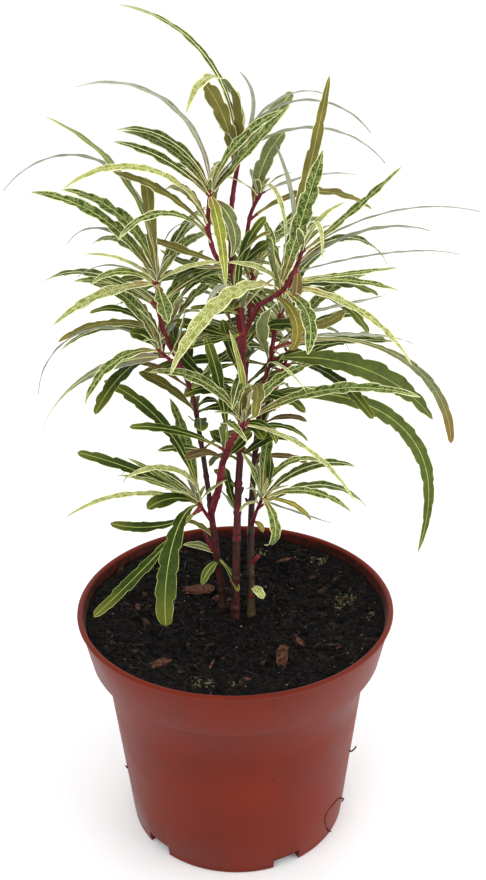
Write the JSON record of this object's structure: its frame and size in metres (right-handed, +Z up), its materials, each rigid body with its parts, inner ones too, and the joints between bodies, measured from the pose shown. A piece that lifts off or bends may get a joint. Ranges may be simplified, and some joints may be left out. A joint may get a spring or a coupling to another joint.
{
  "type": "potted shrub",
  "caption": "Young potted shrub with crimson stems and long, narrow, wavy-edged leaves with cream net veins, in a plain round terracotta-coloured plastic pot.",
  "frame": {"origin": "centre of the flat underside of the pot", "axes": "+Z up along the pot's axis, front of the plant towards -Y, +X to the right of someone who looks at the front"},
  "size_m": [0.1621, 0.1438, 0.3065],
  "materials": {
    "pot": "satin",
    "soil": "matte",
    "stem_centre": "matte",
    "stem_right": "matte",
    "stem_left": "matte",
    "bough_left": "satin",
    "bough_front": "satin",
    "bough_upper_right": "satin",
    "bough_back": "satin",
    "bough_back_left": "satin",
    "bough_back_right": "satin",
    "foliage_top": "satin",
    "foliage_upper_left": "satin",
    "foliage_upper_middle": "satin",
    "foliage_heart": "satin",
    "foliage_upper_right": "satin",
    "foliage_left": "satin",
    "foliage_lower_left": "satin",
    "foliage_centre": "satin",
    "foliage_foot_right": "satin",
    "foliage_foot_left": "satin",
    "foliage_right": "satin",
    "foliage_back": "satin",
    "foliage_back_left": "satin",
    "foliage_back_right": "satin"
  },
  "bodies": {
    "root": {"pot": "pot", "soil": "soil", "stem_centre": "stem_centre", "stem_right": "stem_right", "stem_left": "stem_left", "bough_left": "bough_left", "bough_front": "bough_front", "bough_upper_right": "bough_upper_right", "bough_back": "bough_back", "bough_back_left": "bough_back_left", "bough_back_right": "bough_back_right", "foliage_top": "foliage_top", "foliage_upper_left": "foliage_upper_left", "foliage_upper_middle": "foliage_upper_middle", "foliage_heart": "foliage_heart", "foliage_upper_right": "foliage_upper_right", "foliage_left": "foliage_left", "foliage_lower_left": "foliage_lower_left", "foliage_centre": "foliage_centre", "foliage_foot_right": "foliage_foot_right", "foliage_foot_left": "foliage_foot_left", "foliage_right": "foliage_right", "foliage_back": "foliage_back", "foliage_back_left": "foliage_back_left", "foliage_back_right": "foliage_back_right"}
  },
  "joints": []
}
